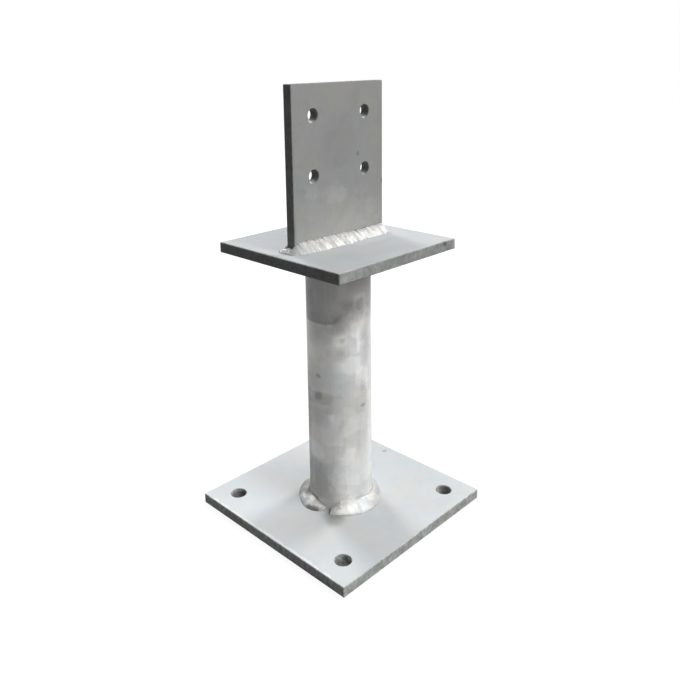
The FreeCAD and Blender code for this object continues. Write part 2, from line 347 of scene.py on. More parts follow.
@node_group(
    "Soft Spot",
    [
        ("Centre", VECTOR, (0.0, 0.0, 0.0)),
        ("Reach", VECTOR, (5.0, 5.0, 5.0)),
        ("Softness", FLOAT, 0.4),
        ("Ragged", FLOAT, 0.0),
    ],
    [("Mask", FLOAT)],
)
def soft_spot(w, given):
    """A mask that is 1 inside an uneven ellipsoid, at a place and sizes in millimetres."""
    far = w.vector("DIVIDE", w.vector("SUBTRACT", in_millimetres(w), given["Centre"]), given["Reach"])
    far = w.math("ADD", w.vector("LENGTH", far, output="Value"), given["Ragged"])
    return (inside(w, far, given["Softness"]),)


@node_group("Cut Edge", [("Rolled Normal", VECTOR, (0.0, 0.0, 1.0))], [("Mask", FLOAT)])
def cut_edge(w, given):
    """A mask that is 1 where the surface turns away from a plate's rolled faces."""
    normal = w.node("ShaderNodeTexCoord").outputs["Normal"]
    facing = w.math("ABSOLUTE", w.vector("DOT_PRODUCT", normal, given["Rolled Normal"], output="Value"))
    return (w.ramp(facing, 0.92, 0.80),)


def spot(factor, centre, reach, softness):
    """A placed mark: how much it lightens or darkens the zinc, and its uneven ellipsoid."""
    return factor, soft_spot, dict(centre=centre, reach=reach, softness=softness)


def mark(factor, angle, height, half_width, half_height, softness):
    """A placed mark on the tube: how much it lightens or darkens the zinc, and its rounded rectangle."""
    place = dict(angle=angle, height=height, half_width=half_width, half_height=half_height)
    return factor, tube_mark, dict(place, softness=softness)


def shade(rgb, factor):
    """A colour made lighter or darker by a factor."""
    return [factor * part for part in rgb]


def zinc_material(name, rgb, skin, marks, metallic, roughness, specular=0.2, gloss_spread=0.06,
                  ragged=0.13, rolled=None, edge_rgb=None, fleck=0.09):
    """A galvanised finish: cloudy zinc, duller flecked zinc on cut edges, and placed marks.

    rolled is the direction that the rolled faces look in. Without it there are no cut edges.
    """
    material = bpy.data.materials.new(name)
    material.use_nodes = True
    w = Wiring(material.node_tree)
    look = w.group(zinc_skin(), **skin)
    warm, cool = ((*(part * share for part, share in zip(rgb, tint)), 1.0) for tint in (WARM, COOL))
    coat = w.scaled(w.mix(look["Tint"], warm, cool), w.math("ADD", look["Tone"], 1.0))
    rough = w.math("MULTIPLY_ADD", look["Gloss"], -gloss_spread, roughness)
    metal = metallic
    if rolled:
        edge = w.group(cut_edge(), rolled_normal=rolled)["Mask"]
        swing = 1.4 * fleck
        flecks = [
            w.ramp(w.noise(in_millimetres(w), scale, detail, 0.6), low, high, 1 - swing, 1 + swing)
            for scale, detail, low, high in ((0.07, 4, 0.3, 0.7), (0.24, 3, 0.34, 0.66))
        ]
        coat = w.mix(edge, coat, w.scaled(edge_rgb, w.math("MULTIPLY", *flecks)))
        metal = w.math("MULTIPLY_ADD", edge, -metallic, metallic)
        rough = w.math("MAXIMUM", rough, w.math("MULTIPLY", edge, EDGE_ROUGHNESS))
    raggedness = w.math("SUBTRACT", w.noise(in_millimetres(w), ragged, 3), 0.5)
    for factor, group, place in marks:
        mask = w.group(group(), **place, ragged=raggedness)["Mask"]
        coat = w.mix(mask, coat, w.scaled(coat, factor))
    relief = {"Height": look["Height"], "Strength": BUMP_STRENGTH, "Distance": BUMP_DEPTH}
    bump = w.node("ShaderNodeBump", relief)
    shader = material.node_tree.nodes["Principled BSDF"]
    for socket_name, value in (
        ("Base Color", coat),
        ("Metallic", metal),
        ("Roughness", rough),
        ("Specular IOR Level", specular),
        ("Normal", bump.outputs["Normal"]),
    ):
        w.feed(shader.inputs[socket_name], value)
    return material


def dress(node, material):
    """Give a CAD node its finish."""
    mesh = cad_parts[node].data
    mesh.materials.clear()
    mesh.materials.append(material)


# --------------------------------------------------------------------------------------- beads

RING_STEP = 0.45 * MM
STRAIGHT_STEP = 0.4 * MM
FRAY_DEPTH = 0.1
FRAY_PITCH = 2.2 * MM
FRAY_ROWS = (3, 9)
ROW_GAP = 7.3

# what each point of a bead knows: its length along the run, its share across from toe to toe, and
# how freely the ripples and lumps may move it
TRACES = ("along", "across", "face")


class Bead:
    """A weld run as a closed mesh: a section swept along stations, with a sharp-edged cap at each end.

    A station is (root corner, outward direction, along value, leg, rise, crown).
    """

    ACROSS = 14

    def __init__(self, name, tuck):
        self.name = name
        self.tuck = tuck
        self.build = bmesh.new()
        self.layers = [self.build.verts.layers.float.new(key) for key in TRACES]
        self.rings = []

    def add_station(self, root, outward, along, leg, rise, crown, fray=(0.0, 0.0)):
        """Add one section. Up is +Z or -Z by the sign of rise, and fray moves the two toes."""
        up = Vector((0, 0, math.copysign(1, rise)))
        rise = abs(rise)
        normal = (outward * rise + up * leg).normalized()
        ring = []
        for step in range(self.ACROSS + 1):
            share = step / self.ACROSS
            bulge = crown * (1 - (2 * share - 1) ** 2)
            point = root + outward * leg * (1 - share) + up * rise * share + normal * bulge
            point += outward * fray[0] * max(0.0, 1 - 3 * share) + up * fray[1] * max(0.0, 3 * share - 2)
            if step == 0:
                point -= up * self.tuck
            elif step == self.ACROSS:
                point -= outward * self.tuck
            ring.append((point, share, math.sin(math.pi * share) ** 0.5))
        ring.append((root - (outward + up) * self.tuck, 0.5, 0.0))
        verts = []
        for point, share, face in ring:
            vert = self.build.verts.new(point)
            for layer, value in zip(self.layers, (along, share, face)):
                vert[layer] = value
            verts.append(vert)
        self.rings.append(verts)

    def finish(self):
        """Skin the sections, close the ends and make the object."""
        count = len(self.rings[0])
        for first, second in zip(self.rings, self.rings[1:]):
            for i in range(count):
                j = (i + 1) % count
                self.build.faces.new((first[i], first[j], second[j], second[i]))
        for cap in (self.rings[0], self.rings[-1][::-1]):
            for edge in self.build.faces.new(cap).edges:
                edge.smooth = False
        bmesh.ops.recalc_face_normals(self.build, faces=self.build.faces)
        if self.build.calc_volume(signed=True) < 0:
            # a bead that turns two corners can come out of the recalculation inside out
            bmesh.ops.reverse_faces(self.build, faces=self.build.faces)
        mesh = bpy.data.meshes.new(self.name)
        self.build.to_mesh(mesh)
        self.build.free()
        mesh.shade_smooth()
        made = bpy.data.objects.new(self.name, mesh)
        bpy.context.scene.collection.objects.link(made)
        return made


@node_group(
    "Weld Ripples",
    [
        ("Geometry", GEOMETRY, None),
        ("Ripple Pitch", FLOAT, 2.6 * MM),
        ("Ripple Height", FLOAT, 0.1 * MM),
        ("Lump Size", FLOAT, 7 * MM),
        ("Lump Height", FLOAT, 0.4 * MM),
        ("Seed", "NodeSocketInt", 0),
        ("Material", "NodeSocketMaterial", None),
    ],
    [("Geometry", GEOMETRY)],
    kind="GeometryNodeTree",
)
def ripple_tree(w, given):
    """Bowed ripples along a bead and uneven lumps in it."""
    seed_shift = 0.137
    bow_depth = 1.3
    phase_stray = 1.6
    lump_middle = 0.48
    along, across, face = (
        w.node("GeometryNodeInputNamedAttribute", {"Name": key}, data_type="FLOAT").outputs["Attribute"]
        for key in TRACES
    )
    shift = w.node("ShaderNodeCombineXYZ", {"X": w.math("MULTIPLY", given["Seed"], seed_shift)})
    position = w.node("GeometryNodeInputPosition").outputs["Position"]
    place = w.vector("ADD", position, shift.outputs["Vector"])

    aside = centred(w, across)
    depth = w.math("MULTIPLY", given["Ripple Pitch"], bow_depth)
    bow = w.math("MULTIPLY", w.math("MULTIPLY", aside, aside), depth)
    phase = w.math("DIVIDE", w.math("ADD", along, bow), given["Ripple Pitch"])
    stray = w.math("SUBTRACT", w.noise(place, 160.0), 0.5)
    phase = w.math("ADD", phase, w.math("MULTIPLY", stray, phase_stray))
    wave = w.math("SINE", w.math("MULTIPLY", phase, math.tau))
    uneven = w.ramp(w.noise(place, 90.0), 0.35, 0.65, 0.2, 1.3)
    wave = w.math("MULTIPLY", w.math("MULTIPLY", wave, uneven), given["Ripple Height"])

    lump = w.noise(place, w.math("DIVIDE", 1.0, given["Lump Size"]), 3)
    lump = w.math("SUBTRACT", lump, lump_middle)
    lump = w.math("MULTIPLY", lump, w.math("MULTIPLY", given["Lump Height"], 4.0))

    rise = w.math("MULTIPLY", w.math("ADD", wave, lump), face)
    offset = w.scaled(w.node("GeometryNodeInputNormal").outputs["Normal"], rise)
    moved = w.node("GeometryNodeSetPosition", {"Geometry": given["Geometry"], "Offset": offset})
    real = w.node("GeometryNodeRealizeInstances", {"Geometry": moved.outputs["Geometry"]})
    inputs = {"Geometry": real.outputs["Geometry"], "Material": given["Material"]}
    return (w.node("GeometryNodeSetMaterial", inputs).outputs["Geometry"],)


def with_ripples(piece, **values):
    """Run the ripple tree on a bead and leave a plain mesh."""
    tree = ripple_tree()
    modifier = piece.modifiers.new("Ripples", "NODES")
    modifier.node_group = tree
    sockets = {item.name: item.identifier for item in tree.interface.items_tree if item.in_out == "INPUT"}
    for name, value in values.items():
        modifier[sockets[label(name)]] = value
    bpy.context.view_layer.update()
    evaluated = piece.evaluated_get(bpy.context.evaluated_depsgraph_get())
    result = bpy.data.meshes.new_from_object(evaluated)
    piece.modifiers.remove(modifier)
    old = piece.data
    piece.data = result
    bpy.data.meshes.remove(old)
    for key in TRACES:
        result.attributes.remove(result.attributes[key])
    result.shade_smooth()


def lay_run(piece, node, welds, material, seed, ripple=1.0, size=1.0, lumps=1.0):
    """Ripple a bead, by shares of the set sizes, and ride it on the body in place of its CAD node."""
    with_ripples(
        piece,
        material=material,
        ripple_pitch=welds.ripple_pitch,
        ripple_height=welds.ripple_height * ripple,
        lump_size=welds.lump_size * size,
        lump_height=welds.lump_height * lumps,
        seed=welds.seed + seed,
    )
    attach(piece, BODY)
    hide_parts(node)


def between(value, stops):
    """A value found on a broken line through the stops, each a (place, height)."""
    for (low, first), (high, last) in zip(stops, stops[1:]):
        if value <= high:
            return first + (last - first) * max(0.0, value - low) / (high - low)
    return stops[-1][1]


def nose(distance, reach):
    """How full the section is at a distance from the run's tip: a quarter ellipse over the reach."""
    bluntness = 0.06
    if distance >= reach:
        return 1.0
    share = max(0.0, distance / reach)
    return max(bluntness, math.sqrt(1 - (1 - share) ** 2))


def waver(place, row, swing, pace):
    """A factor near 1 that drifts unevenly along a run."""
    return 1 + swing * noise.noise(Vector((place * pace, row * ROW_GAP, 0)))


def ring_bead(name, welds, start, stop, shape, level, up, start_nose=0.0):
    """A bead round the tube from one angle to another, in degrees.

    shape gives (leg, rise, crown) at an angle, and up is 1 or -1 for a bead above or below its level.
    """
    bead = Bead(name, welds.tuck)
    arc = math.radians(abs(stop - start)) * TUBE_RADIUS
    steps = int(arc / RING_STEP)
    for i in range(steps + 1):
        share = i / steps
        angle = math.radians(start + (stop - start) * share)
        outward = Vector((math.cos(angle), math.sin(angle), 0))
        full = nose(share * arc, start_nose)
        leg, rise, crown = shape(math.degrees(angle))
        root = outward * TUBE_RADIUS + Vector((0, 0, level))
        bead.add_station(root, outward, share * arc, leg * full, up * rise * full, crown * full)
    return bead.finish()


def straight_bead(name, welds, begin, end, outward, shape, noses):
    """A bead along a straight root line, with frayed toes and a nose of its own length at each end.

    shape gives (leg, rise, crown) at a share of the way along.
    """
    bead = Bead(name, welds.tuck)
    arc = (end - begin).length
    steps = int(arc / STRAIGHT_STEP)
    for i in range(steps + 1):
        share = i / steps
        full = min(nose(share * arc, noses[0]), nose((1 - share) * arc, noses[1]))
        leg, rise, crown = shape(share)
        drift = [noise.noise(Vector((share * arc / FRAY_PITCH, row, begin.x))) for row in FRAY_ROWS]
        fray = [FRAY_DEPTH * leg * full * part for part in drift]
        bead.add_station(
            begin.lerp(end, share), outward, share * arc, leg * full, rise * full, crown * full, fray
        )
    return bead.finish()


def end_bead(name, welds, side, leg, rise):
    """A short bead across the blade's end that turns both corners."""
    turn_steps = 14
    end_steps = 20
    crown = 0.5 * MM
    half = BLADE_HIGH.y
    stations = [(-half, math.radians(-90 + 90 * i / turn_steps)) for i in range(turn_steps + 1)]
    stations += [(-half + 2 * half * i / end_steps, 0.0) for i in range(1, end_steps + 1)]
    stations += [(half, math.radians(90 * i / turn_steps)) for i in range(1, turn_steps + 1)]
    bead = Bead(name, welds.tuck)
    along = 0.0
    last = None
    for y, angle in stations:
        outward = Vector((side * math.cos(angle), math.sin(angle), 0))
        root = Vector((side * BLADE_HIGH.x, y, SEAT_HIGH.z))
        middle = root + outward * leg / 2
        if last is not None:
            along += (middle - last).length
        last = middle
        bead.add_station(root, outward, along, leg, rise, crown)
    return bead.finish()


def weld_material(zinc):
    """The bright zinc on weld metal, made once."""
    name = "Weld Zinc"
    if name in bpy.data.materials:
        return bpy.data.materials[name]
    return zinc_material(
        name,
        zinc.weld,
        dict(cloud_size=12.0, cloud=0.12, patch_size=(5.0, 5.0, 4.0), patch=0.08, run=0.0, grain=0.05),
        marks=(
            # round the tube's foot: a painted shadow under the left run's lower toe, painted highlights on
            # its nose and on the front of the right run, and painted shade over the rest of the left run
            # and on parts of the right run
            spot(0.30, (-43.0, -2.5, 11.0), (5.0, 9.0, 2.6), 0.35),
            spot(1.5, (-34.5, -6.0, 12.5), (2.2, 1.8, 2.0), 0.4),
            spot(0.68, (29, -24, 15), (16.0, 14.0, 14.0), 0.2),
            mark(0.62, 131, 15, 10.0, 12.0, 0.30),
            mark(0.70, 157, 17, 6.0, 12.0, 0.50),
            mark(0.72, 194, 14, 4.0, 9.0, 0.50),
            mark(1.45, 231, 11, 9.0, 5.0, 0.50),
            mark(1.32, 242, 17, 12.0, 9.0, 0.40),
            mark(0.78, 283, 17, 9.0, 9.0, 0.50),
            # round the blade's foot, with painted shade in the hollow between the left end bead and the
            # front run, and a painted highlight where the front run starts
            spot(0.86, (-32, 0, 281), (36.0, 24.0, 12.0), 0.06),
            spot(0.84, (30, -5, 281), (32.0, 18.0, 12.0), 0.06),
            spot(0.78, (55, -8, 281), (12.0, 16.0, 12.0), 0.5),
            spot(0.74, (-66, 2, 278.5), (8.0, 18.0, 5.0), 0.3),
            spot(0.62, (-61, -2, 281), (4.0, 5.0, 3.0), 0.6),
            spot(1.20, (-62, -11, 279), (5.0, 4.0, 4.0), 0.5),
        ),
        metallic=0.15,
        roughness=0.46,
        specular=0.25,
        gloss_spread=0.10,
        ragged=0.3,
    )


# ----------------------------------------------------------------------------------- operators


class POSTBASE_OT_plates(bpy.types.Operator):
    """Dress the base plate and the bearing plate in smooth, faintly clouded zinc"""

    bl_idname = "post_base.plates"
    bl_label = "Plates"
    bl_options = {"REGISTER", "UNDO"}

    def execute(self, context):
        zinc = context.scene.post_base_zinc
        common = dict(rolled=(0.0, 0.0, 1.0), metallic=0.17, roughness=0.54, specular=0.12)
        # painted reflection: the base plate's cut edges are made paler, standing in for the bright floor
        # they reflect
        reflected_floor_edge = 1.38
        dimmer = 0.93
        anchor = 75
        base = zinc_material(
            "Base Plate Zinc",
            zinc.plate,
            dict(
                cloud_size=46.0, cloud=0.05, patch_size=(26.0, 26.0, 20.0), patch=0.018, run=0.0, grain=0.03
            ),
            marks=(
                spot(0.72, (91, 19, 10), (3.0, 2.2, 2.0), 0.3),
                # painted shadow of the tube on the base plate, in front of its foot under the gap between
                # the weld runs
                spot(0.72, (-36, -25, 10), (11.0, 11.0, 3.0), 0.7),
                # painted light on the base plate's left edge
                spot(1.22, (-100, 0, 5), (4.0, 130.0, 8.0), 0.1),
                # painted shade over the right half of the top, and painted light at the back-left and front
                # corners, evening out how the lamps light it
                spot(0.92, (55, 0, 10), (80.0, 80.0, 4.0), 0.6),
                spot(1.07, (-36, 76, 10), (34.0, 34.0, 4.0), 0.7),
                spot(1.07, (-90, -84, 10), (20.0, 20.0, 4.0), 0.7),
                # painted shade inside the four anchor holes
                *(
                    spot(0.55, (x, y, 4.0), (8.5, 8.5, 8.0), 0.05)
                    for x in (-anchor, anchor)
                    for y in (-anchor, anchor)
                ),
            ),
            edge_rgb=shade(zinc.cut_edge, reflected_floor_edge),
            fleck=0.13,
            **common,
        )
        bearing = zinc_material(
            "Bearing Plate Zinc",
            shade(zinc.plate, dimmer),
            dict(
                cloud_size=38.0,
                cloud=0.06,
                patch_size=(22.0, 22.0, 20.0),
                patch=0.025,
                run=0.0,
                grain=0.03,
                offset=(37.0, 81.0, 15.0),
            ),
            marks=(
                spot(0.55, (63, -80, 276), (3.5, 3.0, 2.6), 0.35),
                spot(1.26, (-66, -80, 273), (13.0, 3.0, 7.0), 0.25),
                spot(1.06, (-30, -80, 273), (14.0, 3.0, 7.0), 0.4),
                spot(1.25, (79, -80, 273), (4.0, 3.0, 7.0), 0.4),
                spot(0.88, (6, -80, 273), (9.0, 3.0, 7.0), 0.4),
                spot(1.14, (32, -80, 273), (14.0, 3.0, 7.0), 0.3),
                # painted shade on the bearing plate's left edge
                spot(0.80, (-80, 0, 273), (4.0, 100.0, 8.0), 0.1),
                spot(1.12, (24, -23, 278), (22.0, 8.0, 4.0), 0.6),
                spot(0.95, (-36, -46, 278), (16.0, 13.0, 4.0), 0.6),
                spot(0.94, (14, -58, 278), (20.0, 10.0, 4.0), 0.6),
            ),
            edge_rgb=shade(zinc.cut_edge, dimmer),
            **common,
        )
        dress("base_plate", base)
        dress("bearing_plate", bearing)
        return {"FINISHED"}


class POSTBASE_OT_tube(bpy.types.Operator):
    """Dress the tube in mottled zinc"""

    bl_idname = "post_base.tube"
    bl_label = "Tube"
    bl_options = {"REGISTER", "UNDO"}

    def execute(self, context):
        zinc = context.scene.post_base_zinc
        head_shadow = dict(crisp_angle=150.0, low_edge=203.0, high_edge=213.0, blur=15.0)
        tube = zinc_material(
            "Tube Zinc",
            zinc.tube,
            dict(
                cloud_size=38.0, cloud=0.10, patch_size=(17.0, 17.0, 15.0), patch=0.10, run=0.09, grain=0.05
            ),
            marks=(
                # painted shadow of the bearing plate on the tube's head
                (0.57, painted_head_shadow, head_shadow),
                mark(1.16, 263, 224, 7.4, 9.0, 0.16),
                mark(0.82, 265, 222, 4.6, 6.0, 0.22),
                mark(0.82, 226, 203, 9.0, 8.0, 0.60),
                mark(0.84, 287, 193, 7.0, 18.0, 0.50),
                mark(1.12, 253, 182, 6.0, 12.0, 0.40),
                mark(1.20, 261, 186, 2.3, 12.0, 0.45),
                mark(1.20, 248, 162, 10.5, 9.5, 0.22),
                mark(1.16, 270, 148, 9.5, 8.5, 0.30),
                mark(0.92, 250, 126, 16.0, 20.0, 0.16),
                mark(0.80, 190, 127, 12.5, 6.5, 0.30),
                mark(0.74, 183, 129, 4.0, 4.0, 0.50),
                mark(0.88, 179, 108, 14.0, 10.0, 0.40),
                mark(0.66, 270, 118, 2.6, 1.6, 0.60),
                # painted light on the lower front of the tube, standing in for light thrown up from the
                # base plate
                mark(1.10, 262, 62, 17.0, 50.0, 0.10),
                mark(1.10, 236, 48, 11.0, 34.0, 0.30),
                mark(0.74, 176, 38, 15.0, 21.0, 0.35),
                mark(1.10, 233, 62, 4.4, 4.6, 0.40),
                mark(0.70, 184, 150, 2.8, 2.0, 0.50),
                mark(0.84, 198, 194, 15.0, 8.0, 0.55),
                mark(1.14, 229, 187, 8.0, 6.0, 0.30),
                mark(0.84, 230, 188, 2.4, 2.4, 0.50),
                mark(0.86, 227, 175, 4.0, 3.5, 0.50),
                mark(1.14, 210, 109, 3.0, 4.0, 0.50),
                mark(1.12, 166, 173, 5.0, 7.0, 0.45),
                mark(1.14, 177, 70, 9.4, 9.0, 0.25),
                # painted shade on the tube's left rim
                mark(0.70, 138, 76, 9.0, 62.0, 0.30),
                # painted shade on the tube near the foot weld's toe
                mark(0.88, 290, 28, 14.0, 8.0, 0.40),
                # painted shade in the crease at the foot weld's upper toe
                mark(0.60, 162, 17.0, 7.5, 1.8, 0.50),
                mark(0.72, 248, 216, 12.0, 10.0, 0.60),
                # painted shade on the tube's left rim
                mark(0.64, 145, 110, 7.5, 34.0, 0.60),
                mark(0.82, 164, 125, 6.0, 7.0, 0.60),
                mark(0.86, 269, 98, 9.0, 22.0, 0.60),
                mark(0.86, 280, 176, 6.0, 14.0, 0.60),
                mark(0.82, 270, 138, 3.5, 5.0, 0.60),
                mark(0.90, 213, 117, 7.0, 7.0, 0.60),
                mark(1.16, 224, 161, 5.5, 6.0, 0.60),
                mark(1.18, 231, 241, 5.0, 6.0, 0.60),
                mark(1.10, 232, 38, 6.0, 12.0, 0.60),
                mark(0.86, 210, 202, 8.0, 6.0, 0.60),
                mark(0.84, 272, 217, 4.0, 8.0, 0.50),
                mark(0.86, 289, 212, 5.0, 9.0, 0.60),
                # painted shade on the tube's left rim
                mark(0.82, 145, 42, 7.0, 18.0, 0.60),
                mark(0.80, 229, 205, 8.0, 10.0, 0.60),
                mark(0.84, 247, 220, 7.0, 6.0, 0.60),
                # painted shade on the tube's left rim
                mark(0.76, 140, 98, 5.0, 40.0, 0.50),
                mark(0.86, 275, 131, 5.0, 4.0, 0.60),
                # painted shade in the crease at the foot weld's upper toe
                mark(0.80, 258, 20.6, 6.0, 1.2, 0.50),
            ),
            metallic=0.24,
            roughness=0.5,
        )
        dress("stem_tube", tube)
        return {"FINISHED"}


class POSTBASE_OT_blade(bpy.types.Operator):
    """Dress the drilled blade in darker, faintly blotched zinc"""

    bl_idname = "post_base.blade"
    bl_label = "Blade"
    bl_options = {"REGISTER", "UNDO"}

    def execute(self, context):
        zinc = context.scene.post_base_zinc
        dark_edge = 0.72
        blade = zinc_material(
            "Blade Zinc",
            zinc.blade,
            dict(
                cloud_size=30.0, cloud=0.06, patch_size=(15.0, 15.0, 17.0), patch=0.05, run=0.04, grain=0.03
            ),
            marks=(
                # painted highlights on a wall inside each of the four holes, where the light falls in
                *(
                    spot(2.6, (x, -4.0, z), (2.6, 2.4, 2.4), 0.3)
                    for x in (-36.6, 32.4)
                    for z in (395.4, 340.9)
                ),
                spot(0.70, (24.5, -5, 360), (1.8, 3.0, 2.2), 0.4),
                spot(0.50, (60.0, -5, 329.5), (2.0, 3.0, 3.0), 0.4),
                spot(1.16, (-20, -5, 296), (70.0, 20.0, 30.0), 0.45),
                spot(1.16, (0, -5, 284), (76.0, 20.0, 18.0), 0.7),
                spot(1.08, (-6, -5, 324), (13.0, 20.0, 8.0), 0.20),
                spot(1.12, (-38, -5, 331), (7.0, 20.0, 6.0), 0.50),
                spot(0.72, (-60, 0, 290), (3.0, 7.0, 24.0), 0.7),
                spot(0.94, (0, -5, 370), (22.0, 20.0, 24.0), 0.5),
            ),
            metallic=0.3,
            roughness=0.5,
            specular=0.12,
            rolled=(0.0, 1.0, 0.0),
            edge_rgb=shade(zinc.cut_edge, dark_edge),
        )
        dress("blade", blade)
        return {"FINISHED"}


class POSTBASE_OT_foot_welds(bpy.types.Operator):
    """Lay the two runs round the tube's foot, with a gap between them in front"""

    bl_idname = "post_base.foot_welds"
    bl_label = "Foot Welds"
    bl_options = {"REGISTER", "UNDO"}

    def execute(self, context):
        welds = context.scene.post_base_welds
        material = weld_material(context.scene.post_base_zinc)

        # shares of the set leg and rise at angles in degrees
        left_legs = (
            (100, 1.06), (150, 1.14), (171, 1.28), (177, 1.22), (184, 1.10), (189, 0.88), (198, 0.36),
        )
        left_rises = (
            (90, 0.90), (125, 0.80), (149, 0.30), (162, 0.53), (174, 0.53), (182, 0.38), (198, 0.08),
        )
        right_legs = (
            (210, 0.92), (228, 0.84), (240, 0.94), (254, 1.12), (275, 1.12), (289, 1.00), (305, 0.76),
            (335, 0.76), (360, 1.06),
        )
        right_rises = (
            (208, 0.28), (215, 0.52), (223, 0.80), (236, 0.89), (251, 0.76), (264, 0.83), (280, 0.75),
            (300, 0.64), (330, 0.64), (380, 0.90),
        )

        swing = 0.04
        pace = 0.06

        def section(legs, rises, row):
            """Leg, rise and crown at an angle, from two broken lines."""
            return lambda angle: (
                welds.foot_leg * between(angle, legs) * waver(angle, row, swing, pace),
                welds.foot_rise * between(angle, rises) * waver(angle, row + 5, swing, pace),
                welds.foot_crown,
            )

        left = section(left_legs, left_rises, 3)
        right = section(right_legs, right_rises, 5)
        for side, start, stop, shape, start_nose, seed in (
            ("left", 197, 40, left, 2 * MM, 0),
            ("right", 208.5, 400, right, 0, 3),
        ):
            name = "weld_bead_foot_" + side
            piece = ring_bead(name, welds, start, stop, shape, BASE_HIGH.z, 1, start_nose)
            lay_run(piece, "foot_weld_" + side, welds, material, seed, ripple=0.3, size=1.4, lumps=0.8)
        return {"FINISHED"}


class POSTBASE_OT_head_welds(bpy.types.Operator):
    """Lay the two half rings under the bearing plate"""

    bl_idname = "post_base.head_welds"
    bl_label = "Head Welds"
    bl_options = {"REGISTER", "UNDO"}

    def execute(self, context):
        welds = context.scene.post_base_welds
        material = weld_material(context.scene.post_base_zinc)
        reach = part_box("head_weld_front")[1].x - TUBE_RADIUS
        crown = 0.6 * MM
        for node, start, stop, seed in (("head_weld_front", 180, 360, 5), ("head_weld_rear", 0, 180, 6)):
            name = node.replace("weld", "weld_bead")
            piece = ring_bead(name, welds, start, stop, lambda angle: (reach, reach, crown), SEAT_LOW.z, -1)
            lay_run(piece, node, welds, material, seed, lumps=0.6)
        return {"FINISHED"}


class POSTBASE_OT_blade_welds(bpy.types.Operator):
    """Lay the runs along the blade's faces and round its ends"""

    bl_idname = "post_base.blade_welds"
    bl_label = "Blade Welds"
    bl_options = {"REGISTER", "UNDO"}

    def execute(self, context):
        welds = context.scene.post_base_welds
        material = weld_material(context.scene.post_base_zinc)

        def at(x, y):
            return Vector((x, y, SEAT_HIGH.z))

        # leg along the seat and rise up the blade, in mm at places along the blade
        front_legs = (
            (-67, 4.0), (-60, 8.5), (-54, 10.5), (-42, 12.2), (-30, 13.4), (-18, 13.8),
            (0, 14.4), (8, 13.2), (40, 13.4), (50, 13.0), (56, 11.5), (60, 8.0),
        )
        front_rises = (
            (-67, 1.6), (-60, 6.4), (-55, 8.4), (-48, 8.8), (-30, 8.6), (-12, 8.2),
            (1, 8.4), (8, 7.8), (20, 7.4), (40, 7.8), (60, 8.4),
        )
        rear_legs = ((-65, 3.0), (-60, 6.8), (60, 7.2))
        rear_rises = ((-65, 2.0), (-60, 6.4), (60, 7.2))

        leg_pace = 9
        rise_pace = 14

        def face(begin, end, crown, row, swing, legs=front_legs, rises=front_rises):
            """Leg, rise and crown at a share of a run between two places along the blade."""
            def shape(share):
                x = begin + (end - begin) * share
                return (
                    between(x, legs) * MM * waver(share, row, swing, leg_pace),
                    between(x, rises) * MM * waver(share, row + 1, swing, rise_pace),
                    crown * MM,
                )
            return shape

        low, high = BLADE_LOW, BLADE_HIGH
        front = Vector((0, -1, 0))
        rear = Vector((0, 1, 0))
        runs = (
            ("blade_weld_front_first", at(low.x - 7 * MM, low.y), at(4 * MM, low.y), front,
             face(-67, 4, 0.2, 1, 0.12), (3 * MM, 3 * MM), 0.12, 1.0, 0.60),
            ("blade_weld_front_second", at(-2 * MM, low.y), at(high.x, low.y), front,
             face(-2, 60, 0.4, 4, 0.09), (1.5 * MM, 0), 0.12, 1.3, 0.48),
            ("blade_weld_rear", at(low.x - 5 * MM, high.y), at(high.x, high.y), rear,
             face(-65, 60, 0.4, 7, 0.10, rear_legs, rear_rises), (3 * MM, 0), 0.3, 1.2, 0.8),
        )
        for seed, (node, begin, end, out, shape, noses, ripple, size, lumps) in enumerate(runs, 10):
            piece = straight_bead(node.replace("weld", "weld_bead"), welds, begin, end, out, shape, noses)
            lay_run(piece, node, welds, material, seed, ripple, size, lumps)
        for node, side, leg, rise, seed in (
            ("blade_weld_left_end", -1, 8.2 * MM, 4.3 * MM, 19),
            ("blade_weld_right_end", 1, 2.8 * MM, 6.5 * MM, 21),
        ):
            piece = end_bead(node.replace("weld", "weld_bead"), welds, side, leg, rise)
            lay_run(piece, node, welds, material, seed, ripple=0.3, size=0.6, lumps=0.6)
        return {"FINISHED"}


# --------------------------------------------------------------------------------------- stage

CAMERA_PLACE = (-0.4860, -0.4792, 0.4504)
CAMERA_RIGHT = (0.705, -0.709, -0.0158)
CAMERA_BACK = (-0.6917, -0.6923, 0.2056)
CAMERA_SHIFT = (0.0122, -0.190)
LAMP_AIM = Vector((0, 0, 0.2))
LAMP_DISTANCE = 3.0
TALL_LAMP = (0.64, 1.4)
WIDE_LAMP = (1.6, 1.24)
FLOOR_HALF = 6.0


